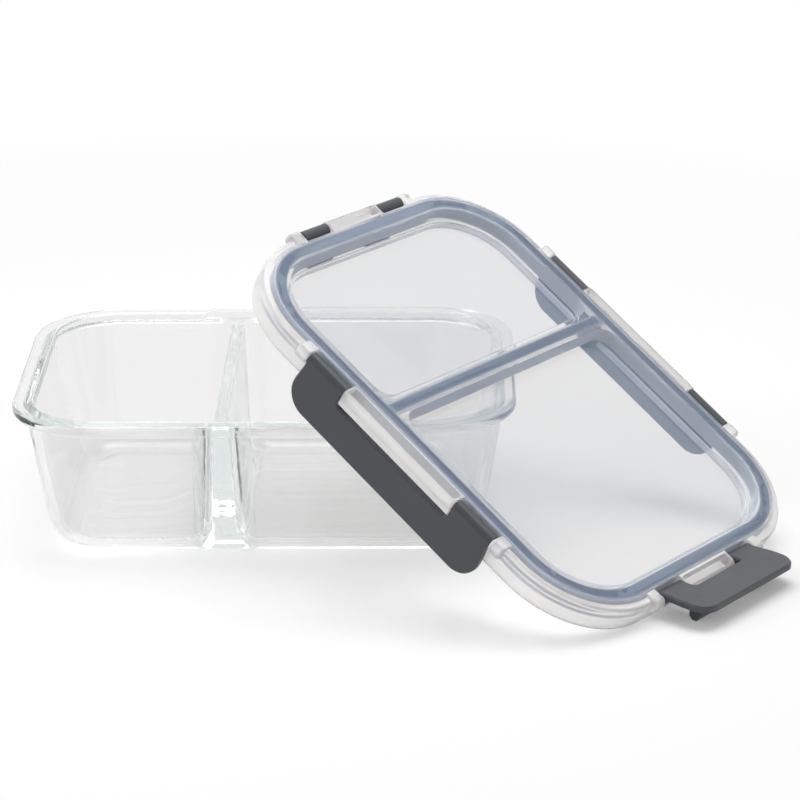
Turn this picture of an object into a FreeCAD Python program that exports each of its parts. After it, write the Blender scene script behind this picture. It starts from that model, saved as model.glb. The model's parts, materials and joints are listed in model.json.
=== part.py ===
import FreeCAD, Part
import math
import os
import re
import Sketcher

# A glass lunch box with two compartments and its clear lid.
#
# The dish stands on z = 0 with the origin under its centre, x along its length.
# The lid is off the dish: its right end stands on the table and its panel leans on
# the dish's rim. Lid pieces are drawn in the lid's own frame, whose z = 0 is the
# ceiling of the seal channel, and then share the lid's placement.

SIZES = [
    # glass dish
    ("rim_length", 220.0),
    ("rim_width", 166.0),
    ("rim_radius", 40.0),
    ("dish_height", 65.4),
    ("flange_overhang", 5.6),
    ("flange_thickness", 5.4),
    ("flange_edge_round", 2.2),
    ("flange_root_round", 1.2),
    ("wall_draft", 9.7),
    ("seat_width", 9.2),
    ("seat_inner_round", 1.5),
    ("floor_thickness", 4.6),
    ("base_edge_round", 12.5),
    ("inside_round", 8.0),
    ("divider_offset", 17.5),
    ("divider_top", 5.5),
    ("divider_drop", 2.0),
    ("divider_draft", 2.6),
    ("divider_corner", 10.0),
    ("divider_top_round", 2.2),
    # lid shell
    ("skirt_clearance", 1.5),
    ("skirt_wall", 1.9),
    ("skirt_depth", 12.4),
    ("shoulder_drop", 0.5),
    ("shoulder_round", 1.7),
    ("gutter_width", 1.1),
    ("gutter_depth", 3.0),
    ("ridge_wall", 1.2),
    ("ridge_cap", 1.5),
    ("ridge_round", 0.9),
    ("channel_gap", 0.1),
    ("pocket_wall", 2.5),
    ("pocket_draft", 10.0),
    ("pocket_corner", 8.0),
    ("bar_wall", 3.4),
    ("deck_depth", 6.6),
    ("panel_thickness", 1.8),
    ("channel_end_wall", 1.2),
    ("plug_clearance", 0.8),
    ("plug_wall", 1.4),
    ("plug_depth", 2.0),
    # seals
    ("seal_width", 5.0),
    ("seal_body_height", 5.0),
    ("seat_depth", 7.2),
    ("bead_width", 3.2),
    ("bead_round", 1.2),
    # hinges
    ("hinge_out", 3.2),
    ("hinge_drop", 2.2),
    ("bay_gap", 0.2),
    ("rod_radius", 1.6),
    ("running_gap", 0.1),
    ("knuckle_radius", 3.1),
    ("arm_gap", 0.4),
    ("lug_radius", 3.5),
    ("lug_round", 2.8),
    ("lug_length", 6.6),
    ("lug_end_round", 1.2),
    ("block_height", 1.0),
    ("block_reach", 5.8),
    ("block_round", 2.0),
    ("window_wall", 1.0),
    ("window_depth", 5.0),
    ("window_corner", 1.2),
    ("short_arm_inner", 17.8),
    ("short_arm_outer", 34.3),
    ("long_arm_inner", 34.2),
    ("long_arm_outer", 56.2),
    # latches
    ("plate_thickness", 2.6),
    ("plate_reach", 24.4),
    ("plate_crown", 0.5),
    ("plate_edge", 0.7),
    ("notch_depth", 6.7),
    ("notch_corner", 1.5),
    ("flare_start", 4.0),
    ("flare_end", 11.5),
    ("flare_round", 8.0),
    ("plate_flare", 0.9),
    ("short_tip_corner", 8.0),
    ("long_tip_corner", 11.0),
    ("open_limit", 150.0),
    ("hook_clearance", 0.2),
    ("hook_nose", 1.6),
    ("hook_tip", 2.2),
    ("hook_rise", 8.7),
    ("hook_reach", 8.0),
    ("hook_round", 0.7),
    ("snap_slot", 2.4),
    ("short_hook_inner", 13.1),
    ("short_hook_outer", 27.2),
    ("long_hook_inner", 27.0),
    ("long_hook_outer", 50.0),
    # how the lid leans
    ("lid_turn", 37.39),
    ("lid_lean", 32.52),
    ("lid_sideways", 27.08),
    ("rest_gap", 0.2),
]

V = FreeCAD.Vector
doc = FreeCAD.newDocument("lunch_box")

# ---------------------------------------------------------------- sizes

sheet = doc.addObject("Spreadsheet::Sheet", "sizes")
for row, (name, number) in enumerate(SIZES, start=1):
    sheet.set("A%d" % row, name)
    sheet.set("B%d" % row, str(number))
    sheet.setAlias("B%d" % row, name)
doc.recompute()

CENTRE_POINT = 3
CLOSE_ENOUGH = 0.05
SIZE_NAMES = {name for name, number in SIZES}


def value(formula):
    """The number that a formula in size names stands for."""
    return float(sheet.evalExpression(formula))


def spelled(formula):
    """The same formula with every size name written as the sheet's cell."""
    def full(match):
        word = match.group(0)
        return "sizes." + word if word in SIZE_NAMES else word
    return re.sub(r"[A-Za-z_]+", full, formula)


def bind(thing, prop, formula):
    thing.setExpression(prop, spelled(formula))


# ---------------------------------------------------------------- sketches

def new_body(label):
    body = doc.addObject("PartDesign::Body", label)
    body.Label = label
    return body


def new_sketch(body, name, role, offset="0"):
    """A sketch on one of the body's origin planes, moved along that plane's normal."""
    sketch = body.newObject("Sketcher::SketchObject", body.Name + "_" + name)
    plane = next(f for f in body.Origin.OriginFeatures if f.Role == role)
    sketch.AttachmentSupport = [(plane, "")]
    sketch.MapMode = "FlatFace"
    bind(sketch, "AttachmentOffset.Base.z", offset)
    return sketch


def fix_point(sketch, geometry, end, x, y):
    """Dimension a point from the sketch's origin by two formulas."""
    for letter, formula, axis in (("X", x, -2), ("Y", y, -1)):
        amount = value(formula)
        if abs(amount) < 1e-9:
            sketch.addConstraint(Sketcher.Constraint("PointOnObject", geometry, end, axis))
            continue
        pair = (-1, 1, geometry, end) if amount > 0 else (geometry, end, -1, 1)
        index = sketch.addConstraint(Sketcher.Constraint("Distance" + letter, *pair, abs(amount)))
        name = "at_%s%d" % (letter.lower(), index)
        sketch.renameConstraint(index, name)
        bind(sketch, "Constraints." + name, formula if amount > 0 else "-(%s)" % formula)


def circle(sketch, x, y, radius):
    centre = V(value(x), value(y), 0)
    item = sketch.addGeometry(Part.Circle(centre, V(0, 0, 1), value(radius)))
    fix_point(sketch, item, CENTRE_POINT, x, y)
    index = sketch.addConstraint(Sketcher.Constraint("Radius", item, value(radius)))
    name = "radius%d" % index
    sketch.renameConstraint(index, name)
    bind(sketch, "Constraints." + name, radius)


def outline(sketch, corners):
    """A closed outline of straight sides through (x, y, corner radius or None) formulas."""
    points = [V(value(x), value(y), 0) for x, y, radius in corners]
    count = len(points)
    joints = []
    for i, (x, y, radius) in enumerate(corners):
        point = points[i]
        if radius is None:
            joints.append((point, point, None))
            continue
        back = (points[i - 1] - point).normalize()
        ahead = (points[(i + 1) % count] - point).normalize()
        half = back.getAngle(ahead) / 2
        r = value(radius)
        centre = point + (back + ahead).normalize() * (r / math.sin(half))
        arrive = point + back * (r / math.tan(half))
        leave = point + ahead * (r / math.tan(half))
        left_turn = ahead.cross(back).z > 0
        first, last = (arrive, leave) if left_turn else (leave, arrive)
        angles = [math.atan2(p.y - centre.y, p.x - centre.x) for p in (first, last)]
        arc = Part.ArcOfCircle(Part.Circle(centre, V(0, 0, 1), r), *angles)
        joints.append((arrive, leave, (arc, 1 if left_turn else 2)))
    sides = []
    for i in range(count):
        side = Part.LineSegment(joints[i][1], joints[(i + 1) % count][0])
        sides.append(sketch.addGeometry(side))
    for i, (x, y, radius) in enumerate(corners):
        before, after = sides[i - 1], sides[i]
        if radius is None:
            sketch.addConstraint(Sketcher.Constraint("Coincident", before, 2, after, 1))
            fix_point(sketch, after, 1, x, y)
            continue
        arc, arrive_end = joints[i][2]
        item = sketch.addGeometry(arc)
        sketch.addConstraint(Sketcher.Constraint("Tangent", before, 2, item, arrive_end))
        sketch.addConstraint(Sketcher.Constraint("Tangent", item, 3 - arrive_end, after, 1))
        index = sketch.addConstraint(Sketcher.Constraint("Radius", item, value(radius)))
        name = "radius%d" % index
        sketch.renameConstraint(index, name)
        bind(sketch, "Constraints." + name, radius)
        corner = sketch.addGeometry(Part.Point(points[i]), True)
        sketch.addConstraint(Sketcher.Constraint("PointOnObject", corner, 1, before))
        sketch.addConstraint(Sketcher.Constraint("PointOnObject", corner, 1, after))
        fix_point(sketch, corner, 1, x, y)


def box_outline(sketch, left, right, low, high, left_radius=None, right_radius=None):
    outline(sketch, [
        (left, low, left_radius), (right, low, right_radius),
        (right, high, right_radius), (left, high, left_radius)])


def rim_outline(sketch, offset):
    """The rim's outline moved outwards by an offset, or inwards by a negative one."""
    half_length = "rim_length / 2 + (%s)" % offset
    half_width = "rim_width / 2 + (%s)" % offset
    radius = "rim_radius + (%s)" % offset
    box_outline(sketch, "-(%s)" % half_length, half_length,
                "-(%s)" % half_width, half_width, radius, radius)


# ---------------------------------------------------------------- features

def extrude(kind, body, sketch, length, backwards=False, both_ways=False, draft=None):
    """A Pad or Pocket of a sketch by a length formula."""
    feature = body.newObject("PartDesign::" + kind, sketch.Name + "_" + kind.lower())
    feature.Profile = sketch
    feature.SideType = "Symmetric" if both_ways else "One side"
    feature.Reversed = backwards
    bind(feature, "Length", length)
    if draft:
        bind(feature, "TaperAngle", draft)
    doc.recompute()
    return feature


def pad(body, sketch, length, **options):
    return extrude("Pad", body, sketch, length, **options)


def pocket(body, sketch, length, **options):
    """A Pocket, with a test that it really takes material away."""
    before = body.Shape.Volume
    feature = extrude("Pocket", body, sketch, length, **options)
    if not body.Shape.Volume < before - 0.01:
        raise RuntimeError(feature.Name + " cut nothing")
    return feature


def mirror(body, features, role):
    feature = body.newObject("PartDesign::Mirrored", features[-1].Name + "_mirror")
    feature.Originals = features
    plane = next(f for f in body.Origin.OriginFeatures if f.Role == role)
    feature.MirrorPlane = (plane, [""])
    body.Tip = feature
    doc.recompute()
    return feature


def dress(kind, body, chosen, size_property, size):
    """A Fillet or Chamfer on every edge for which chosen(edge) is true."""
    base = body.Tip
    names = ["Edge%d" % (i + 1) for i, edge in enumerate(base.Shape.Edges) if chosen(edge)]
    if not names:
        raise RuntimeError("no edge to dress after " + base.Name)
    feature = body.newObject("PartDesign::" + kind, base.Name + "_" + kind.lower())
    feature.Base = (base, names)
    bind(feature, size_property, size)
    doc.recompute()
    return feature


def fillet(body, chosen, radius):
    return dress("Fillet", body, chosen, "Radius", radius)


def chamfer(body, chosen, size):
    return dress("Chamfer", body, chosen, "Size", size)


def level(height):
    """True for edges that lie wholly at one height."""
    z = value(height)

    def test(edge):
        box = edge.BoundBox
        return abs(box.ZMin - z) < 0.01 and abs(box.ZMax - z) < 0.01
    return test


def touches_outline(edge, offset):
    """True where an edge's middle lies on the rim's outline moved by an offset."""
    middle = edge.valueAt((edge.FirstParameter + edge.LastParameter) / 2)
    radius = value("rim_radius + (%s)" % offset)
    dx = abs(middle.x) - (value("rim_length / 2 + (%s)" % offset) - radius)
    dy = abs(middle.y) - (value("rim_width / 2 + (%s)" % offset) - radius)
    if dx > 0 and dy > 0:
        return abs(math.hypot(dx, dy) - radius) < CLOSE_ENOUGH
    return abs(max(dx, dy) - radius) < CLOSE_ENOUGH


# ---------------------------------------------------------------- glass dish

WALL_RUN = "tan(wall_draft) * (dish_height - flange_thickness)"
POCKET_RUN = "tan(wall_draft) * (dish_height - floor_thickness)"
DIVIDER_RUN = "tan(divider_draft) * (dish_height - floor_thickness)"


def compartment(body, name, divider_side, side):
    """One drafted hollow; side is -1 for the left one and 1 for the right one."""
    sections = []
    for where, height, wall_run, divider_run in (
            ("top", "dish_height", "0", "0"),
            ("floor", "floor_thickness", POCKET_RUN, DIVIDER_RUN)):
        sketch = new_sketch(body, name + "_" + where, "XY_Plane", height)
        far = "(rim_length / 2 - seat_width - %s)" % wall_run
        near = "(%s + divider_top / 2 + %s)" % (divider_side, divider_run)
        half_width = "(rim_width / 2 - seat_width - %s)" % wall_run
        corner = "rim_radius - seat_width - %s" % wall_run
        if side < 0:
            box_outline(sketch, "-" + far, "-" + near, "-" + half_width, half_width,
                        corner, "divider_corner")
        else:
            box_outline(sketch, near, far, "-" + half_width, half_width,
                        "divider_corner", corner)
        sections.append(sketch)
    before = body.Shape.Volume
    loft = body.newObject("PartDesign::SubtractiveLoft", body.Name + "_" + name)
    loft.Profile = sections[0]
    loft.Sections = sections[1:]
    loft.Ruled = True
    doc.recompute()
    if not body.Shape.Volume < before - 1:
        raise RuntimeError(name + " cut nothing")


def make_dish():
    body = new_body("glass_dish")
    base = new_sketch(body, "base", "XY_Plane")
    rim_outline(base, "-flange_overhang - " + WALL_RUN)
    pad(body, base, "dish_height - flange_thickness", draft="wall_draft")
    rim = new_sketch(body, "rim", "XY_Plane", "dish_height - flange_thickness")
    rim_outline(rim, "0")
    pad(body, rim, "flange_thickness")
    fillet(body, level("0"), "base_edge_round")

    on_root = level("dish_height - flange_thickness")
    fillet(body, lambda edge: on_root(edge) and touches_outline(edge, "-flange_overhang"),
           "flange_root_round")
    fillet(body, lambda edge: touches_outline(edge, "0")
           and (level("dish_height")(edge) or on_root(edge)), "flange_edge_round")

    compartment(body, "left_hollow", "divider_offset", -1)
    compartment(body, "right_hollow", "-divider_offset", 1)

    # the divider stops a little below the rim, and its top is rounded
    saddle = new_sketch(body, "saddle", "XY_Plane", "dish_height")
    reach = "(divider_top / 2 + divider_corner + divider_top_round)"
    half_width = "(rim_width / 2 - seat_width + divider_drop)"
    box_outline(saddle, "-(divider_offset + %s)" % reach, "-(divider_offset - %s)" % reach,
                "-" + half_width, half_width)
    pocket(body, saddle, "divider_drop")
    on_saddle = level("dish_height - divider_drop")
    fillet(body, lambda edge: on_saddle(edge) and edge.BoundBox.YLength > value("rim_width / 2")
           and edge.BoundBox.XLength < CLOSE_ENOUGH, "divider_top_round")

    fillet(body, level("floor_thickness"), "inside_round")
    fillet(body, lambda edge: level("dish_height")(edge) and touches_outline(edge, "-seat_width"),
           "seat_inner_round")
    return body


# ---------------------------------------------------------------- lid shell

SEAL_LINE = "(-seat_width / 2)"
CHANNEL_HALF = "(seal_width / 2 + channel_gap)"
RIDGE_OUTER = "(%s + %s + ridge_wall)" % (SEAL_LINE, CHANNEL_HALF)
SKIRT_OUTER = "(skirt_clearance + skirt_wall)"
HINGE_RECESS = "(hinge_drop + knuckle_radius + bay_gap)"
POCKET_DEPTH = "(ridge_cap + deck_depth - panel_thickness)"
POCKET_TOP = "(%s - %s - pocket_wall + %s * tan(pocket_draft))" % (
    SEAL_LINE, CHANNEL_HALF, POCKET_DEPTH)
BAR_END = "(rim_width / 2 + %s - %s - channel_end_wall)" % (SEAL_LINE, CHANNEL_HALF)
BAR_HALF = "(%s + bar_wall - %s * tan(pocket_draft))" % (CHANNEL_HALF, POCKET_DEPTH)
PLUG_OUTER = "(-seat_width - plug_clearance)"
PLUG_HALF = "(divider_top / 2 + plug_clearance)"
PLUG_LEVEL = "(seat_depth + plug_depth)"


def panel_outline(sketch, side, offset, bar_half, corner):
    """A compartment-shaped outline beside the crossbar, on the left (-1) or right (1)."""
    far = "(rim_length / 2 + %s)" % offset
    half_width = "(rim_width / 2 + %s)" % offset
    outer = "rim_radius + %s" % offset
    if side < 0:
        box_outline(sketch, "-" + far, "-(divider_offset + %s)" % bar_half,
                    "-" + half_width, half_width, outer, corner)
    else:
        box_outline(sketch, "-(divider_offset - %s)" % bar_half, far,
                    "-" + half_width, half_width, corner, outer)


def hinge_line(across):
    """Distance from the lid's middle to a hinge rod."""
    return "(%s / 2 + hinge_out)" % across


def hinge_side(body, name, role, across, arm_inner, arm_outer):
    """Lugs, rods and centre blocks of the two facing sides of the lid."""
    ridge = "(%s / 2 + %s)" % (across, RIDGE_OUTER)
    rod = hinge_line(across)
    features = []

    lugs = new_sketch(body, name + "_lugs", role, "%s + arm_gap" % arm_outer)
    rods = new_sketch(body, name + "_rods", role, "%s - 2 * arm_gap" % arm_inner)
    blocks = new_sketch(body, name + "_blocks", role)
    for sign in ("-", ""):
        outer = "%s(%s + lug_radius)" % (sign, rod)
        inner = "%s(%s - ridge_wall / 2)" % (sign, ridge)
        top, low = "lug_radius - hinge_drop", "-lug_radius - hinge_drop"
        outline(lugs, [(inner, low, None), (outer, low, "lug_round"),
                       (outer, top, "lug_round"), (inner, "ridge_cap - ridge_round", None)])
        circle(rods, sign + rod, "-hinge_drop", "rod_radius")
        face = "%s(%s + knuckle_radius)" % (sign, rod)
        in_skirt = "%s(%s / 2 + skirt_clearance + skirt_wall / 2)" % (sign, across)
        outline(blocks, [(inner, "-" + HINGE_RECESS, None),
                         (in_skirt, "-" + HINGE_RECESS, None),
                         (in_skirt, "-hinge_drop - block_reach", None),
                         (face, "-hinge_drop - block_reach", "block_round"),
                         (face, "block_height", "block_round"),
                         (inner, "block_height", None)])
    outwards = role == "YZ_Plane"
    features.append(pad(body, lugs, "lug_length"))
    features.append(pad(body, rods, "%s - %s + 4 * arm_gap" % (arm_outer, arm_inner)))
    mirror(body, features, role)
    pad(body, blocks, "2 * (%s - arm_gap)" % arm_inner, both_ways=True)

    windows = new_sketch(body, name + "_windows", "XY_Plane", "block_height")
    near = "(%s + window_wall)" % ridge
    far = "(%s + knuckle_radius - window_wall)" % rod
    half = "(%s - arm_gap - window_wall)" % arm_inner
    for sign in ("-", ""):
        first, last = (sign + near, sign + far)
        if outwards:
            box_outline(windows, "-" + half, half, first, last, "window_corner", "window_corner")
        else:
            box_outline(windows, first, last, "-" + half, half, "window_corner", "window_corner")
    pocket(body, windows, "window_depth")


def on_lug_end(edge):
    """True for the upper edges of the lugs' two end faces."""
    box = edge.BoundBox
    if box.ZMax < value("ridge_cap - ridge_round") or edge.Length < value("lug_end_round"):
        return False
    for first, last, size in ((box.YMin, box.YMax, "short"), (box.XMin, box.XMax, "long")):
        near_end = value(size + "_arm_outer + arm_gap")
        for end in (near_end, near_end + value("lug_length")):
            if last - first < CLOSE_ENOUGH and abs(abs(first) - end) < CLOSE_ENOUGH:
                return box.ZMax > value("ridge_cap - ridge_round") + CLOSE_ENOUGH
    return False


def make_lid_shell():
    body = new_body("lid_shell")
    skirt = new_sketch(body, "skirt", "XY_Plane", "-skirt_depth")
    rim_outline(skirt, SKIRT_OUTER)
    pad(body, skirt, "skirt_depth - shoulder_drop")
    fillet(body, level("-shoulder_drop"), "shoulder_round")

    ridge = new_sketch(body, "ridge", "XY_Plane", "-" + HINGE_RECESS)
    rim_outline(ridge, RIDGE_OUTER)
    pad(body, ridge, HINGE_RECESS + " + ridge_cap")
    fillet(body, level("ridge_cap"), "ridge_round")

    # the gutter between ridge and shoulder
    gutter = new_sketch(body, "gutter", "XY_Plane", "-shoulder_drop")
    rim_outline(gutter, RIDGE_OUTER)
    rim_outline(gutter, RIDGE_OUTER + " + gutter_width")
    pocket(body, gutter, "gutter_depth")

    # four bays where the latches hang
    bays = new_sketch(body, "bays", "XY_Plane", "-" + HINGE_RECESS)
    short_half = "(short_arm_outer + arm_gap + lug_length)"
    long_half = "(long_arm_outer + arm_gap + lug_length)"
    for sign in ("-", ""):
        for across, half, along_y in (("rim_length", short_half, True),
                                      ("rim_width", long_half, False)):
            near = "%s(%s / 2 + %s)" % (sign, across, RIDGE_OUTER)
            far = "%s(%s / 2 + 2 * %s)" % (sign, across, SKIRT_OUTER)
            if along_y:
                box_outline(bays, near, far, "-" + half, half)
            else:
                box_outline(bays, "-" + half, half, near, far)
    pocket(body, bays, HINGE_RECESS + " + ridge_cap", backwards=True)

    # hollow underside, where two plugs are left standing that drop inside the glass
    hollow = new_sketch(body, "hollow", "XY_Plane", "-skirt_depth")
    rim_outline(hollow, "skirt_clearance")
    pocket(body, hollow, "skirt_depth - (%s)" % PLUG_LEVEL, backwards=True)
    around = new_sketch(body, "around_plugs", "XY_Plane", "-(%s)" % PLUG_LEVEL)
    rim_outline(around, "skirt_clearance")
    for side in (-1, 1):
        panel_outline(around, side, PLUG_OUTER, PLUG_HALF, "divider_corner")
        panel_outline(around, side, PLUG_OUTER + " - plug_wall", PLUG_HALF + " + plug_wall",
                      "divider_corner - plug_wall")
    pocket(body, around, "%s - deck_depth" % PLUG_LEVEL, backwards=True)

    # the channels that hold the seals
    ring = new_sketch(body, "ring_channel", "XY_Plane", "-deck_depth")
    rim_outline(ring, SEAL_LINE + " + " + CHANNEL_HALF)
    rim_outline(ring, SEAL_LINE + " - " + CHANNEL_HALF)
    pocket(body, ring, "deck_depth", backwards=True)
    bar = new_sketch(body, "bar_channel", "XY_Plane", "-deck_depth")
    bar_outline(bar, CHANNEL_HALF, BAR_END)
    pocket(body, bar, "deck_depth", backwards=True)

    # the two recessed panels
    panels = new_sketch(body, "panels", "XY_Plane", "ridge_cap")
    for side in (-1, 1):
        panel_outline(panels, side, POCKET_TOP, BAR_HALF, "pocket_corner")
    pocket(body, panels, POCKET_DEPTH, draft="-pocket_draft")

    hinge_side(body, "short", "XZ_Plane", "rim_length", "short_arm_inner", "short_arm_outer")
    hinge_side(body, "long", "YZ_Plane", "rim_width", "long_arm_inner", "long_arm_outer")
    fillet(body, on_lug_end, "lug_end_round")
    return body


# ---------------------------------------------------------------- seals

def bar_outline(sketch, half, end):
    """A straight strip under the crossbar."""
    box_outline(sketch, "-(divider_offset + %s)" % half, "-(divider_offset - %s)" % half,
                "-" + end, end)


def make_perimeter_seal():
    body = new_body("perimeter_seal")
    for name, half, top, height in (
            ("body", "seal_width / 2", "0", "seal_body_height"),
            ("bead", "bead_width / 2", "-seal_body_height", "seat_depth - seal_body_height")):
        sketch = new_sketch(body, name, "XY_Plane", top)
        rim_outline(sketch, "%s + %s" % (SEAL_LINE, half))
        rim_outline(sketch, "%s - %s" % (SEAL_LINE, half))
        pad(body, sketch, height, backwards=True)
    fillet(body, level("-seat_depth"), "bead_round")
    return body


def make_divider_seal():
    """The bar's bead is shorter than its body, so that it drops between the glass walls."""
    body = new_body("divider_seal")
    for name, half, end, top, height in (
            ("body", "(seal_width / 2)", "(%s - channel_gap)" % BAR_END, "0", "seal_body_height"),
            ("bead", "(bead_width / 2)", "(rim_width / 2 - seat_width - plug_clearance)",
             "-seal_body_height", "seat_depth + divider_drop - seal_body_height")):
        sketch = new_sketch(body, name, "XY_Plane", top)
        bar_outline(sketch, half, end)
        pad(body, sketch, height, backwards=True)
    fillet(body, level("-seat_depth - divider_drop"), "bead_round")
    return body


# ---------------------------------------------------------------- latches
# A latch is drawn opened flat: its rod along y, its plate along x, outer face up.

HOOK_TOP = "(seat_depth + flange_thickness + hook_clearance - hinge_drop)"


def make_latch(label, size):
    body = new_body(label)
    arm_inner, arm_outer = size + "_arm_inner", size + "_arm_outer"
    half = "(%s + plate_flare)" % arm_outer
    under = "(knuckle_radius - plate_thickness)"

    # side view of the plate, its outer face crowned
    side = new_sketch(body, "side", "XZ_Plane")
    outline(side, [("0", under, None), ("plate_reach", under + " - plate_crown", None),
                   ("plate_reach", "knuckle_radius - plate_crown", None),
                   ("plate_reach / 2", "knuckle_radius", "4 * plate_reach"),
                   ("0", "knuckle_radius", None)])
    pad(body, side, "2 * %s" % half, both_ways=True)

    # the plate's outline: two arms, flared sides, round tip corners and the notch
    trim = new_sketch(body, "trim", "XY_Plane", "2 * knuckle_radius")
    behind = "-2 * knuckle_radius"
    tip = size + "_tip_corner"
    upper = [("plate_reach", half, tip), ("flare_end", half, "flare_round"),
             ("flare_start", arm_outer, "flare_round"), (behind, arm_outer, None),
             (behind, arm_inner, None), ("notch_depth", arm_inner, "notch_corner")]
    lower = [(x, "-" + y, radius) for x, y, radius in reversed(upper)]
    outline(trim, upper + lower)
    box_outline(trim, "3 * (%s)" % behind, "2 * plate_reach", "-2 * " + half, "2 * " + half)
    pocket(body, trim, "4 * knuckle_radius")

    def top_edge(edge):
        middle = edge.valueAt((edge.FirstParameter + edge.LastParameter) / 2)
        return (edge.BoundBox.ZMin > value("knuckle_radius - plate_crown") - 0.01
                and middle.x > value("knuckle_radius")
                and edge.BoundBox.XMax - 0.01 > value("knuckle_radius"))
    chamfer(body, top_edge, "plate_edge")

    # knuckles, hooks, then the bore and the slot that snaps over the rod
    knuckle = new_sketch(body, "knuckle", "XZ_Plane", arm_inner)
    circle(knuckle, "0", "0", "knuckle_radius")
    hook = new_sketch(body, "hook", "XZ_Plane", size + "_hook_inner")
    nose = HOOK_TOP + " + hook_nose"
    outline(hook, [(HOOK_TOP, under + " + plate_edge", None),
                   (HOOK_TOP + " + hook_rise", under + " + plate_edge", None),
                   (nose + " + hook_tip", "-hook_reach", "hook_round"),
                   (nose, "-hook_reach", "hook_round"),
                   (HOOK_TOP, "hook_nose - hook_reach", "hook_round")])
    features = [pad(body, knuckle, "%s - %s" % (arm_outer, arm_inner)),
                pad(body, hook, "%s_hook_outer - %s_hook_inner" % (size, size))]
    mirror(body, features, "XZ_Plane")
    bore = new_sketch(body, "bore", "XZ_Plane")
    circle(bore, "0", "0", "rod_radius + running_gap")
    pocket(body, bore, "4 * " + half, both_ways=True)
    slot = new_sketch(body, "slot", "XZ_Plane")
    box_outline(slot, "-snap_slot / 2", "snap_slot / 2", "-2 * knuckle_radius", "-rod_radius / 2")
    pocket(body, slot, "4 * " + half, both_ways=True)
    return body


# ---------------------------------------------------------------- where the lid rests

def turned(axis, degrees):
    return FreeCAD.Placement(V(0, 0, 0), FreeCAD.Rotation(axis, degrees))


def lid_placement():
    """The lid leaning: its right skirt edge on the table, its panel on the dish's rim."""
    turn, lean = math.radians(value("lid_turn")), math.radians(value("lid_lean"))
    gap = value("rest_gap")
    downhill = V(math.cos(turn), -math.sin(turn), 0)
    sideways = V(math.sin(turn), math.cos(turn), 0)
    normal = downhill * math.sin(lean) + V(0, 0, math.cos(lean))
    edge_out = value("rim_length / 2 + " + SKIRT_OUTER)
    height = edge_out * math.sin(lean) + value("skirt_depth") * math.cos(lean) + gap

    # how far the rounded rim of the dish reaches along the lid's normal
    round_edge = value("flange_edge_round")
    corner = value("rim_radius")
    reach = (normal.z * (value("dish_height") - round_edge)
             + abs(normal.x) * (value("rim_length") / 2 - corner)
             + abs(normal.y) * (value("rim_width") / 2 - corner)
             + math.sin(lean) * (corner - round_edge) + round_edge)
    travel = (reach + gap + value("deck_depth") - height * math.cos(lean)) / math.sin(lean)
    base = downhill * travel + sideways * value("lid_sideways") + V(0, 0, height)
    rotation = FreeCAD.Rotation(V(0, 0, 1), -value("lid_turn")).multiply(
        FreeCAD.Rotation(V(0, 1, 0), value("lid_lean")))
    return FreeCAD.Placement(base, rotation), height


def latch_placement(lid, heading, across, opened):
    """A latch on its rod: heading turns it to its side, opened is 0 when it is shut."""
    rod = turned(V(0, 0, 1), heading).multiply(
        FreeCAD.Placement(V(value(hinge_line(across)), 0, -value("hinge_drop")),
                          FreeCAD.Rotation(V(0, 1, 0), 90 - opened)))
    return lid.multiply(rod)


def resting_angle(lid_height):
    """How far the low latch is open when its hooks stand on the table."""
    lean = math.radians(value("lid_lean"))
    rod_height = (lid_height - value(hinge_line("rim_length")) * math.sin(lean)
                  - value("hinge_drop") * math.cos(lean) - value("rest_gap"))
    along = value(HOOK_TOP + " + hook_nose + hook_tip")
    down = value("hook_reach")
    slope = math.asin(rod_height / math.hypot(along, down)) - math.atan2(down, along)
    return 90 + value("lid_lean") - math.degrees(slope)


# ---------------------------------------------------------------- assembly

lid, lid_height = lid_placement()
parts = [make_dish()]
for piece in (make_lid_shell(), make_perimeter_seal(), make_divider_seal()):
    piece.Placement = lid
    parts.append(piece)
LATCHES = [
    ("right_latch", "short", 0, "rim_length", resting_angle(lid_height)),
    ("back_latch", "long", 90, "rim_width", 0),
    ("left_latch", "short", 180, "rim_length", 0),
    ("front_latch", "long", 270, "rim_width", 0),
]
for label, size, heading, across, opened in LATCHES:
    latch = make_latch(label, size)
    latch.Placement = latch_placement(lid, heading, across, opened)
    parts.append(latch)
doc.recompute()

for thing in doc.Objects:
    if "Invalid" in thing.State or "Error" in thing.State:
        raise RuntimeError("%s did not build: %s" % (thing.Name, thing.State))
os.makedirs("parts", exist_ok=True)
for piece in parts:
    shape = piece.Shape
    if shape.isNull() or not shape.isValid() or len(shape.Solids) != 1:
        raise RuntimeError(piece.Label + " is not one sound solid")
for piece in parts:
    piece.Shape.exportStep("parts/%s.step" % piece.Label)
    box = piece.Shape.BoundBox
    print("%-15s volume %8.0f  x %7.1f %7.1f  y %7.1f %7.1f  z %6.1f %6.1f" % (
        piece.Label, piece.Shape.Volume, box.XMin, box.XMax, box.YMin, box.YMax, box.ZMin, box.ZMax))
print("right latch is open by %.2f of %.0f degrees" % (LATCHES[0][4], value("open_limit")))
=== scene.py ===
import json
import math

import bmesh
import bpy
from mathutils import Matrix, Vector


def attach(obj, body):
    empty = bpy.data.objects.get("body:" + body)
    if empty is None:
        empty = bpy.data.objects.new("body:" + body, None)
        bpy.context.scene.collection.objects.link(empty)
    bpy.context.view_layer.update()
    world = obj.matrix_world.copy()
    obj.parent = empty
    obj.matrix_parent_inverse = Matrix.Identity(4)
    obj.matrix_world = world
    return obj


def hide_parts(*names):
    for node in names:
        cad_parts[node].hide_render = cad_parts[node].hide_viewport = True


# A glass lunch box with its clear lid leaning on it: finishes, floor, light and camera.
# Everything is in metres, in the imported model's frame.

MM = 0.001

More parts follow.
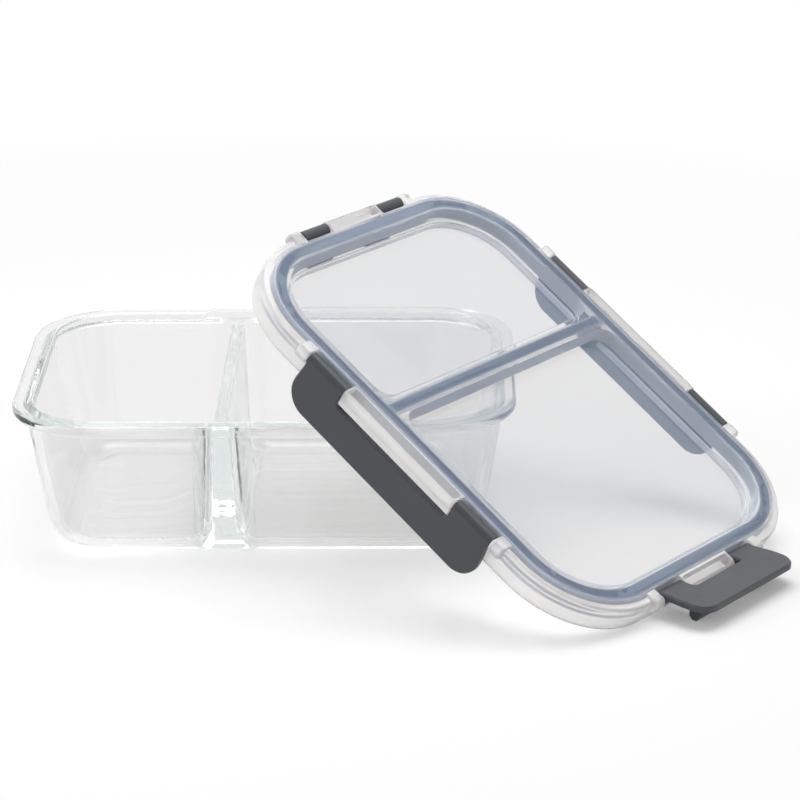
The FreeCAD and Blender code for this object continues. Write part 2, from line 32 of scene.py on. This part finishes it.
# shape work
DOUBLES = 0.002 * MM                 # vertices this close are one
SAME_LEVEL = 0.01 * MM               # heights this close are one level
COPLANAR = math.radians(0.5)         # faces that meet flatter than this are one face
LATCH_CORNER = math.radians(35)      # latch edges sharper than this are broken
SEAL_BEVEL = 0.8 * MM
LATCH_BEVEL = 0.3 * MM

# the outline of the lid's ridge, in the lid's own frame
RIDGE_HALF_LENGTH = 109.3 * MM
RIDGE_HALF_WIDTH = 82.3 * MM
RIDGE_CORNER = 39.3 * MM
FLAT_SLOPE = 0.95                    # a face whose normal rises more than this is a flat

# levels of light, where 1 is white
FALLING_LIGHT = 0.34                 # the backdrop's light on the pieces
ROOM_REFLECTION = 0.36               # the room in front of the box, in reflections
PAPER = 0.8
PAPER_GLOW = 0.2
FAR_PAPER_LIGHT = 0.6                # the far floor's light on the pieces

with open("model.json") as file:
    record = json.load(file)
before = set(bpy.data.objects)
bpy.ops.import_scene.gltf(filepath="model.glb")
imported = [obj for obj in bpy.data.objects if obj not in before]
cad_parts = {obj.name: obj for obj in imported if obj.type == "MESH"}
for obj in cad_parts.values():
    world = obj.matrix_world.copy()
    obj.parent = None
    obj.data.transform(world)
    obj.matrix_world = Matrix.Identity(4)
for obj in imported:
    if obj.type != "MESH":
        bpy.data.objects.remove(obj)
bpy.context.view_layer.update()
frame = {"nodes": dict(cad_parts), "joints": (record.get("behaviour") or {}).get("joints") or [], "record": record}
nodes = frame["nodes"]


# ---------------------------------------------------------------- where the lid is

def hinge_point(latch):
    """The middle of a latch's hinge rod, at rest."""
    joint = next(j for j in frame["joints"] if j["child"] == latch)
    return Vector(joint["pos_m"])


def lid_frame():
    """The lid's own frame: x along its length, z out of its top, zero on the hinge rods' level."""
    along = (hinge_point("right_latch") - hinge_point("left_latch")).normalized()
    across = (hinge_point("back_latch") - hinge_point("front_latch")).normalized()
    normal = along.cross(across)
    centre = (hinge_point("right_latch") + hinge_point("left_latch")) / 2
    matrix = Matrix((along, across, normal)).transposed().to_4x4()
    matrix.translation = centre
    return matrix


LID = lid_frame()
ON_LID = LID.inverted()


# ---------------------------------------------------------------- skins of the CAD nodes

def body_of(name):
    """The body that a CAD node rides on."""
    bodies = frame["record"]["behaviour"]["bodies"]
    return next(body for body, held in bodies.items() if name in held)


def merged(name, sharp_degrees):
    """A copy of a CAD node's mesh with its doubles merged and its sharp edges marked."""
    shape = bmesh.new()
    shape.from_mesh(nodes[name].data)
    bmesh.ops.remove_doubles(shape, verts=shape.verts, dist=DOUBLES)
    bmesh.ops.dissolve_degenerate(shape, edges=shape.edges, dist=DOUBLES)
    limit = math.radians(sharp_degrees)
    for face in shape.faces:
        face.smooth = True
    for edge in shape.edges:
        edge.smooth = edge.is_manifold and edge.calc_face_angle(0) < limit
    return shape


def join_flat_faces(shape):
    """Dissolve the edges inside flat faces, and keep the sharp ones."""
    bmesh.ops.dissolve_limit(shape, angle_limit=COPLANAR, verts=shape.verts,
                             edges=shape.edges, delimit={"SHARP"})


def finish_skin(name, shape, materials, modifiers=()):
    """Make the piece that stands for a CAD node, riding on its body."""
    mesh = bpy.data.meshes.new(name + "_skin")
    shape.to_mesh(mesh)
    shape.free()
    if "custom_normal" in mesh.attributes:
        mesh.attributes.remove(mesh.attributes["custom_normal"])
    for material in materials:
        mesh.materials.append(material)
    piece = bpy.data.objects.new(name + "_skin", mesh)
    bpy.context.scene.collection.objects.link(piece)
    for kind, settings in modifiers:
        modifier = piece.modifiers.new(kind, kind)
        for setting, value in settings.items():
            setattr(modifier, setting, value)
    if modifiers:
        view = bpy.context.evaluated_depsgraph_get()
        solid = bpy.data.meshes.new_from_object(piece.evaluated_get(view))
        piece.modifiers.clear()
        piece.data = solid
    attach(piece, body_of(name))
    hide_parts(name)
    return piece


SOFT_NORMALS = ("WEIGHTED_NORMAL", {"keep_sharp": True, "weight": 60})


# ---------------------------------------------------------------- node trees

class Tree:
    """A short way to add nodes and links to one node tree."""

    def __init__(self, tree):
        self.tree = tree

    def add(self, kind, **settings):
        node = self.tree.nodes.new(kind)
        for name, value in settings.items():
            setattr(node, name, value)
        return node

    def link(self, start, end):
        self.tree.links.new(start, end)

    def put(self, slot, item):
        """Feed a socket from another socket, or set its own value."""
        if isinstance(item, bpy.types.NodeSocket):
            self.link(item, slot)
        else:
            slot.default_value = item

    def math(self, operation, first, second=None, clamp=False):
        node = self.add("ShaderNodeMath", operation=operation, use_clamp=clamp)
        self.put(node.inputs[0], first)
        if second is not None:
            self.put(node.inputs[1], second)
        return node.outputs[0]

    def noise(self, vector, scale, detail=2.0, roughness=0.5):
        node = self.add("ShaderNodeTexNoise")
        self.put(node.inputs["Vector"], vector)
        self.put(node.inputs["Scale"], scale)
        self.put(node.inputs["Detail"], detail)
        self.put(node.inputs["Roughness"], roughness)
        return node.outputs[0]

    def spread(self, value, low, high, to_low=0.0, to_high=1.0):
        """Map a value's range from low..high to another range, and hold it there."""
        node = self.add("ShaderNodeMapRange", clamp=True)
        for slot, item in zip(node.inputs, (value, low, high, to_low, to_high)):
            self.put(slot, item)
        return node.outputs[0]

    def blend(self, factor, first, second):
        node = self.add("ShaderNodeMix", data_type="RGBA")
        for name, item in (("Factor", factor), ("A", first), ("B", second)):
            slot = [s for s in node.inputs if s.name == name and s.enabled][0]
            self.put(slot, item)
        return [s for s in node.outputs if s.enabled][0]

    def bump(self, height, distance):
        node = self.add("ShaderNodeBump")
        self.put(node.inputs["Height"], height)
        self.put(node.inputs["Distance"], distance)
        self.put(node.inputs["Strength"], 1.0)
        return node.outputs[0]

    def place(self):
        return self.add("ShaderNodeTexCoord").outputs["Object"]


def new_group(name, inputs, outputs):
    """An empty shader node group with named sockets."""
    group = bpy.data.node_groups.new(name, "ShaderNodeTree")
    for label, kind, value in inputs:
        item = group.interface.new_socket(label, in_out="INPUT", socket_type=kind)
        if value is not None:
            item.default_value = value
    for label, kind in outputs:
        group.interface.new_socket(label, in_out="OUTPUT", socket_type=kind)
    tree = Tree(group)
    start = tree.add("NodeGroupInput")
    end = tree.add("NodeGroupOutput")
    return group, tree, start.outputs, end.inputs


FLOAT, VECTOR, COLOUR = "NodeSocketFloat", "NodeSocketVector", "NodeSocketColor"


def moulded_surface():
    """Fine mould texture with slow patches: a roughness and a height in millimetres."""
    group, tree, given, result = new_group(
        "moulded_surface",
        [("Place", VECTOR, None), ("Roughness", FLOAT, 0.4), ("Spread", FLOAT, 0.06),
         ("Grain size", FLOAT, 0.3), ("Grain depth", FLOAT, 0.01)],
        [("Roughness", FLOAT), ("Height", FLOAT)])
    fine_share, patch_share = 0.45, 0.55
    fine = tree.noise(given["Place"], tree.math("DIVIDE", 1000.0, given["Grain size"]), 2.0)
    patches = tree.noise(given["Place"], 38.0, 3.0, 0.6)
    both = tree.math("ADD", tree.math("MULTIPLY", fine, fine_share),
                     tree.math("MULTIPLY", patches, patch_share))
    sway = tree.math("SUBTRACT", both, 0.5)
    offset = tree.math("MULTIPLY", sway, tree.math("MULTIPLY", given["Spread"], 2.6))
    tree.put(result["Roughness"], tree.math("ADD", given["Roughness"], offset, clamp=True))
    tree.put(result["Height"], tree.math("MULTIPLY", fine, given["Grain depth"]))
    return group


def handling_marks():
    """Hairline rubs and faint finger smears, as one mask from 0 to 1."""
    group, tree, given, result = new_group(
        "handling_marks",
        [("Place", VECTOR, None), ("Size", FLOAT, 1.0), ("Hairlines", FLOAT, 0.5),
         ("Smears", FLOAT, 0.5)],
        [("Mask", FLOAT)])
    hairs = 0.0
    across = 14.0
    for turn, stretch in ((0.5, 40.0), (-0.9, 55.0), (1.9, 47.0)):
        lay = tree.add("ShaderNodeMapping")
        tree.put(lay.inputs["Vector"], given["Place"])
        lay.inputs["Rotation"].default_value = (0.3 * turn, 0.2, turn)
        lay.inputs["Scale"].default_value = (across, across * stretch, across * stretch)
        lines = tree.noise(lay.outputs[0], given["Size"], 3.0, 0.6)
        hairs = tree.math("MAXIMUM", hairs, tree.spread(lines, 0.66, 0.74))
    smear = tree.noise(given["Place"], tree.math("MULTIPLY", given["Size"], 22.0), 4.0, 0.55)
    smear = tree.spread(smear, 0.5, 0.72)
    mask = tree.math("MAXIMUM", tree.math("MULTIPLY", hairs, given["Hairlines"]),
                     tree.math("MULTIPLY", smear, given["Smears"]))
    tree.put(result["Mask"], mask)
    return group


MOULDED = moulded_surface()
MARKS = handling_marks()


def use_group(tree, group, **values):
    node = tree.add("ShaderNodeGroup", node_tree=group)
    for name, item in values.items():
        tree.put(node.inputs[name.replace("_", " ")], item)
    return node.outputs


def new_material(name):
    material = bpy.data.materials.new(name)
    material.use_nodes = True
    tree = Tree(material.node_tree)
    shader = material.node_tree.nodes["Principled BSDF"]
    return material, tree, shader


def let_lamps_through(material, tree, shader, colour):
    """Lamps shine through this surface as through a clear sheet of a colour."""
    clear = tree.add("ShaderNodeBsdfTransparent")
    clear.inputs["Color"].default_value = colour
    mix = tree.add("ShaderNodeMixShader")
    tree.link(tree.add("ShaderNodeLightPath").outputs["Is Shadow Ray"], mix.inputs[0])
    tree.link(shader.outputs[0], mix.inputs[1])
    tree.link(clear.outputs[0], mix.inputs[2])
    tree.link(mix.outputs[0], material.node_tree.nodes["Material Output"].inputs["Surface"])


# ---------------------------------------------------------------- finishes

def pressed_glass():
    """Clear pressed glass, green in its depth, with the slow waviness of a mould."""
    material, tree, shader = new_material("pressed_glass")
    place = tree.place()
    wave = tree.noise(place, 20.0, 0.0)
    marks = use_group(tree, MARKS, Place=place, Size=0.7, Hairlines=0.25, Smears=0.7)
    shader.inputs["Base Color"].default_value = (0.875, 0.87, 0.87, 1)
    tree.put(shader.inputs["Roughness"], tree.spread(marks["Mask"], 0.0, 1.0, 0.004, 0.035))
    tree.put(shader.inputs["Normal"], tree.bump(wave, 0.008 * MM))
    shader.inputs["IOR"].default_value = 1.5
    shader.inputs["Transmission Weight"].default_value = 1
    absorb = tree.add("ShaderNodeVolumeAbsorption")
    absorb.inputs["Color"].default_value = (0.66, 0.79, 0.77, 1)
    absorb.inputs["Density"].default_value = 3.4
    output = material.node_tree.nodes["Material Output"]
    tree.link(absorb.outputs[0], output.inputs["Volume"])
    let_lamps_through(material, tree, shader, (0.74, 0.74, 0.74, 1))
    return material


def lid_plastic(name, tint, roughness, haze, haze_tint, shade, grain=0.001):
    """The lid's glossy plastic; haze is the share of light that its cloudiness scatters."""
    material, tree, shader = new_material(name)
    place = tree.place()
    marks = use_group(tree, MARKS, Place=place, Size=1.0, Hairlines=0.5, Smears=0.5)
    finish = use_group(tree, MOULDED, Place=place, Roughness=roughness, Spread=roughness * 0.3,
                       Grain_size=0.5, Grain_depth=grain)
    rubbed = tree.math("ADD", finish["Roughness"], tree.math("MULTIPLY", marks["Mask"], 0.05))
    shader.inputs["Base Color"].default_value = (*tint, 1)
    tree.put(shader.inputs["Roughness"], rubbed)
    tree.put(shader.inputs["Normal"], tree.bump(finish["Height"], MM))
    shader.inputs["IOR"].default_value = 1.45
    shader.inputs["Transmission Weight"].default_value = 1
    cloud = tree.add("ShaderNodeBsdfDiffuse")
    cloud.inputs["Color"].default_value = (*haze_tint, 1)
    cloudy = tree.add("ShaderNodeMixShader")
    cloudy.inputs[0].default_value = haze
    tree.link(shader.outputs[0], cloudy.inputs[1])
    tree.link(cloud.outputs[0], cloudy.inputs[2])
    let_lamps_through(material, tree, cloudy, (*shade, 1))
    return material


def silicone():
    """The seals' blue-grey rubber, satin with a little bloom."""
    material, tree, shader = new_material("silicone")
    place = tree.place()
    finish = use_group(tree, MOULDED, Place=place, Roughness=0.5, Spread=0.1,
                       Grain_size=0.25, Grain_depth=0.01)
    bloom = tree.spread(tree.noise(place, 60.0, 4.0, 0.6), 0.35, 0.75)
    colour = tree.blend(bloom, (0.047, 0.085, 0.16, 1), (0.06, 0.103, 0.184, 1))
    tree.put(shader.inputs["Base Color"], colour)
    tree.put(shader.inputs["Roughness"], finish["Roughness"])
    tree.put(shader.inputs["Normal"], tree.bump(finish["Height"], MM))
    return material


def satin_charcoal():
    """The latches' dark moulded plastic: fine even texture, a few rubs from fingers."""
    material, tree, shader = new_material("satin_charcoal")
    place = tree.place()
    finish = use_group(tree, MOULDED, Place=place, Roughness=0.42, Spread=0.08,
                       Grain_size=0.28, Grain_depth=0.016)
    marks = use_group(tree, MARKS, Place=place, Size=1.3, Hairlines=0.6, Smears=0.6)
    colour = tree.blend(marks["Mask"], (0.054, 0.057, 0.068, 1), (0.068, 0.072, 0.083, 1))
    tree.put(shader.inputs["Base Color"], colour)
    rubbed = tree.math("SUBTRACT", finish["Roughness"], tree.math("MULTIPLY", marks["Mask"], 0.08))
    tree.put(shader.inputs["Roughness"], rubbed)
    tree.put(shader.inputs["Normal"], tree.bump(finish["Height"], MM))
    return material


GLASS = pressed_glass()
CLEAR = lid_plastic("clear_plastic", (0.91, 0.855, 0.76), 0.03, 0.17, (0.50, 0.63, 0.88),
                    (0.92, 0.92, 0.92))
CLOUDED = lid_plastic("clouded_plastic", (0.95, 0.94, 0.93), 0.08, 0.35, (0.84, 0.89, 0.97),
                      (0.84, 0.84, 0.84))
MILKY = lid_plastic("milky_plastic", (1.0, 0.99, 0.985), 0.16, 0.42, (0.99, 0.98, 0.975),
                    (0.82, 0.82, 0.82), 0.008)
SILICONE = silicone()
CHARCOAL = satin_charcoal()
FINISH_OF = {"dish_glass": GLASS, "lid_plastic": MILKY, "seal_silicone": SILICONE,
             "latch_plastic": CHARCOAL}

# a CAD node under a skin has the same finish
for part in frame["record"]["subparts"]:
    for item in nodes[part["node"]].material_slots:
        item.material = FINISH_OF[part["material_slot"]]


# ---------------------------------------------------------------- the pieces

def lid_finish(face):
    """0 for the milky outside of the lid, 1 for clear flats and 2 for walls inside its ridge."""
    middle = ON_LID @ face.calc_center_median()
    normal = ON_LID.to_3x3() @ face.normal
    over_x = max(abs(middle.x) - (RIDGE_HALF_LENGTH - RIDGE_CORNER), 0)
    over_y = max(abs(middle.y) - (RIDGE_HALF_WIDTH - RIDGE_CORNER), 0)
    if math.hypot(over_x, over_y) > RIDGE_CORNER:
        return 0
    return 1 if abs(normal.z) > FLAT_SLOPE else 2


def make_lid():
    shape = merged("lid_shell", 28)
    for face in shape.faces:
        face.material_index = lid_finish(face)
    finish_skin("lid_shell", shape, [MILKY, CLEAR, CLOUDED], [SOFT_NORMALS])


def make_seals():
    """Seals whose upper edges are broken, so that they lift off the walls of their channel."""
    for name in ("perimeter_seal", "divider_seal"):
        shape = merged(name, 35)
        join_flat_faces(shape)
        top = max((ON_LID @ v.co).z for v in shape.verts)
        rims = [e for e in shape.edges if not e.smooth
                and all(abs((ON_LID @ v.co).z - top) < SAME_LEVEL for v in e.verts)]
        bmesh.ops.bevel(shape, geom=rims, offset=SEAL_BEVEL, segments=3, profile=0.5,
                        affect="EDGES", clamp_overlap=True)
        finish_skin(name, shape, [SILICONE], [SOFT_NORMALS])


def make_latches():
    """Latches with their sharp edges just broken, as they leave the mould."""
    for name in ("right_latch", "back_latch", "left_latch", "front_latch"):
        shape = merged(name, 30)
        join_flat_faces(shape)
        bevel = ("BEVEL", {"width": LATCH_BEVEL, "segments": 2, "limit_method": "ANGLE",
                           "angle_limit": LATCH_CORNER, "use_clamp_overlap": True})
        finish_skin(name, shape, [CHARCOAL], [bevel, SOFT_NORMALS])


finish_skin("glass_dish", merged("glass_dish", 35), [GLASS], [SOFT_NORMALS])
make_lid()
make_seals()
make_latches()


# ---------------------------------------------------------------- floor, light, camera

def seen_directly(tree):
    """1 for rays that look at the backdrop straight, in a reflection or through glass."""
    path = tree.add("ShaderNodeLightPath")
    first = tree.math("MAXIMUM", path.outputs["Is Camera Ray"], path.outputs["Is Glossy Ray"])
    return tree.math("MAXIMUM", first, path.outputs["Is Transmission Ray"])


def make_floor():
    mesh = bpy.data.meshes.new("floor")
    half = 6.0
    mesh.from_pydata([(-half, -half, 0), (half, -half, 0), (half, half, 0), (-half, half, 0)],
                     [], [(0, 1, 2, 3)])
    floor = bpy.data.objects.new("floor", mesh)
    bpy.context.scene.collection.objects.link(floor)
    material, tree, shader = new_material("floor_paper")
    material.node_tree.nodes.remove(shader)
    output = material.node_tree.nodes["Material Output"]
    diffuse = tree.add("ShaderNodeBsdfDiffuse")
    diffuse.inputs["Color"].default_value = (PAPER, PAPER, PAPER, 1)
    glow = tree.add("ShaderNodeEmission")
    tree.link(tree.math("MULTIPLY", seen_directly(tree), PAPER_GLOW), glow.inputs["Strength"])
    both = tree.add("ShaderNodeAddShader")
    tree.link(diffuse.outputs[0], both.inputs[0])
    tree.link(glow.outputs[0], both.inputs[1])
    # far from the box the paper runs into the white of the backdrop
    distance = tree.add("ShaderNodeVectorMath", operation="LENGTH")
    tree.link(tree.place(), distance.inputs[0])
    far = tree.spread(distance.outputs["Value"], 0.34, 0.66)
    white = tree.add("ShaderNodeEmission")
    rest = tree.math("MULTIPLY", seen_directly(tree), 1 - FAR_PAPER_LIGHT)
    tree.link(tree.math("ADD", rest, FAR_PAPER_LIGHT), white.inputs["Strength"])
    sweep = tree.add("ShaderNodeMixShader")
    tree.link(far, sweep.inputs[0])
    tree.link(both.outputs[0], sweep.inputs[1])
    tree.link(white.outputs[0], sweep.inputs[2])
    tree.link(sweep.outputs[0], output.inputs["Surface"])
    mesh.materials.append(material)


def make_world():
    world = bpy.data.worlds.new("studio")
    bpy.context.scene.world = world
    world.use_nodes = True
    tree = Tree(world.node_tree)
    background = world.node_tree.nodes["Background"]
    background.inputs["Color"].default_value = (1, 1, 1, 1)
    # white where it is looked at, and in reflections darker towards the front, where the room is
    direction = tree.add("ShaderNodeSeparateXYZ")
    tree.link(tree.add("ShaderNodeTexCoord").outputs["Generated"], direction.inputs[0])
    mirrored = tree.spread(direction.outputs["Y"], -0.45, 0.25, ROOM_REFLECTION, 1.0)
    path = tree.add("ShaderNodeLightPath")
    strength = tree.math("MAXIMUM", path.outputs["Is Camera Ray"],
                         path.outputs["Is Transmission Ray"])
    glossy = tree.math("MULTIPLY", path.outputs["Is Glossy Ray"], mirrored)
    strength = tree.math("MAXIMUM", strength, glossy)
    # light that falls on the pieces is fainter, and glass in its way does not change that
    looked_at = tree.math("LESS_THAN", path.outputs["Diffuse Depth"], 0.5)
    strength = tree.math("MULTIPLY", strength, looked_at)
    tree.link(tree.math("MAXIMUM", strength, FALLING_LIGHT), background.inputs["Strength"])


def softbox(name, place, aim, width, height, power):
    light = bpy.data.lights.new(name, "AREA")
    light.shape = "RECTANGLE"
    light.size = width
    light.size_y = height
    light.energy = power
    lamp = bpy.data.objects.new(name, light)
    bpy.context.scene.collection.objects.link(lamp)
    lamp.location = place
    lamp.rotation_euler = (Vector(aim) - Vector(place)).to_track_quat("-Z", "Y").to_euler()


def make_camera():
    camera = bpy.data.objects.new("camera", bpy.data.cameras.new("camera"))
    bpy.context.scene.collection.objects.link(camera)
    camera.data.sensor_width = 36
    camera.data.lens = 154.31
    camera.location = (0.08035, -1.45525, 0.56448)
    heading, down, roll = 0.0147, 0.3408, -0.00725
    turn = (Matrix.Rotation(heading, 3, "Z") @ Matrix.Rotation(math.pi / 2 - down, 3, "X")
            @ Matrix.Rotation(roll, 3, "Z"))
    camera.rotation_euler = turn.to_euler()
    bpy.context.scene.camera = camera


make_floor()
make_world()
softbox("overhead", (0.1, 0.2, 1.3), (0.05, 0, 0), 1.1, 0.9, 11.5)
softbox("left", (-1.2, -0.4, 0.8), (0, 0, 0.05), 0.7, 0.9, 4)
softbox("front", (0.1, -1.3, 0.75), (0.05, 0, 0.05), 1.2, 0.4, 2.6)
make_camera()

scene = bpy.context.scene
scene.view_settings.view_transform = "Standard"
scene.cycles.max_bounces = 32
scene.cycles.transmission_bounces = 28
scene.cycles.glossy_bounces = 24
scene.cycles.transparent_max_bounces = 16
